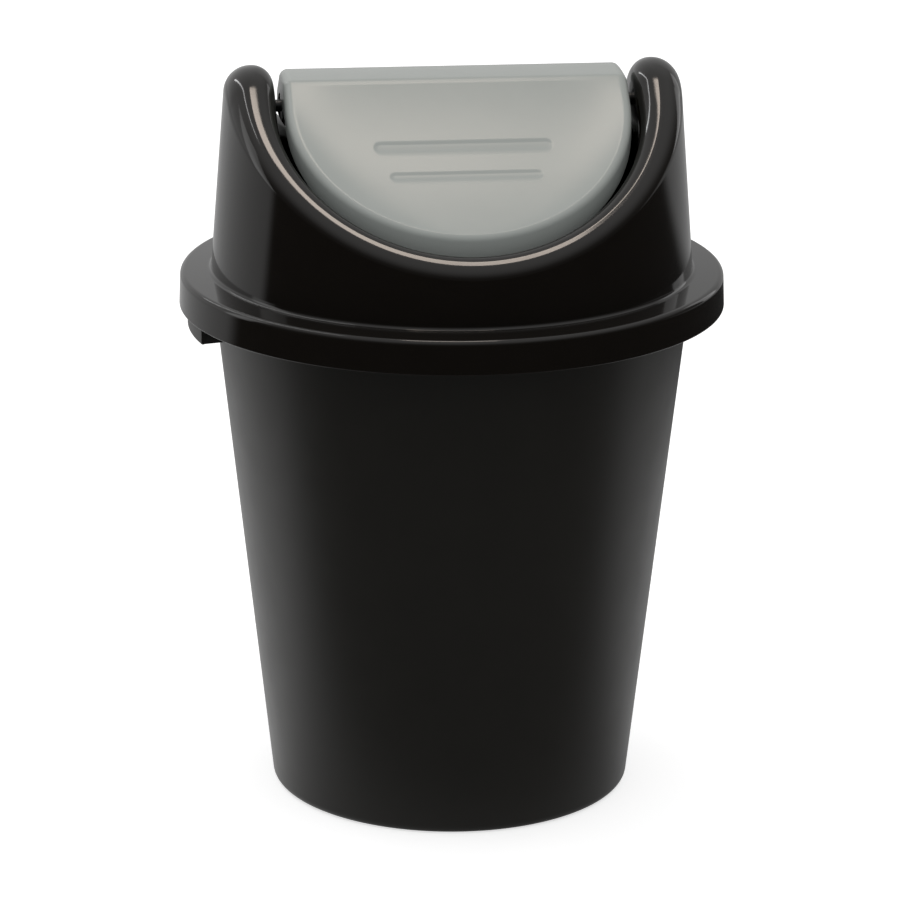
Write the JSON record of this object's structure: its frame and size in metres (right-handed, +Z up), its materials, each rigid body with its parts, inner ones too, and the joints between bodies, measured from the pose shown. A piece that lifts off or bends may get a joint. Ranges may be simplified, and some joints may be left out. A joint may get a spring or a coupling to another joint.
{
  "type": "swing-lid trash can",
  "caption": "Round tapered swing-lid trash can: open bucket with finger grips, lift-off hood with a rolled gable mouth, and a two-way swing lid on pivot pins",
  "frame": {"origin": "Middle of the foot ring, on the floor the bin stands on", "axes": "+Z up out of the bucket, X along the lid's pivot from ear to ear, -Y towards the front of the mouth as pictured"},
  "size_m": [0.2722, 0.272, 0.3723],
  "materials": {
    "bucket_plastic": "satin black moulded polypropylene",
    "hood_plastic": "glossy black moulded polypropylene",
    "lid_plastic": "satin light grey moulded polypropylene",
    "pin_plastic": "dark moulded plastic"
  },
  "bodies": {
    "bucket": {"bucket": "bucket_plastic"},
    "hood": {"hood": "hood_plastic", "left_pivot_pin": "pin_plastic", "right_pivot_pin": "pin_plastic"},
    "lid": {"swing_lid": "lid_plastic"}
  },
  "joints": [
    {"name": "hood_lift", "type": "slide", "parent": "bucket", "child": "hood", "axis": [0, 0, 1], "range_m": [0, 0.12]},
    {"name": "lid_swing", "type": "hinge", "parent": "hood", "child": "lid", "pos_m": [0, 0, 0.3523], "axis": [1, 0, 0], "range_deg": [-75, 75]}
  ]
}
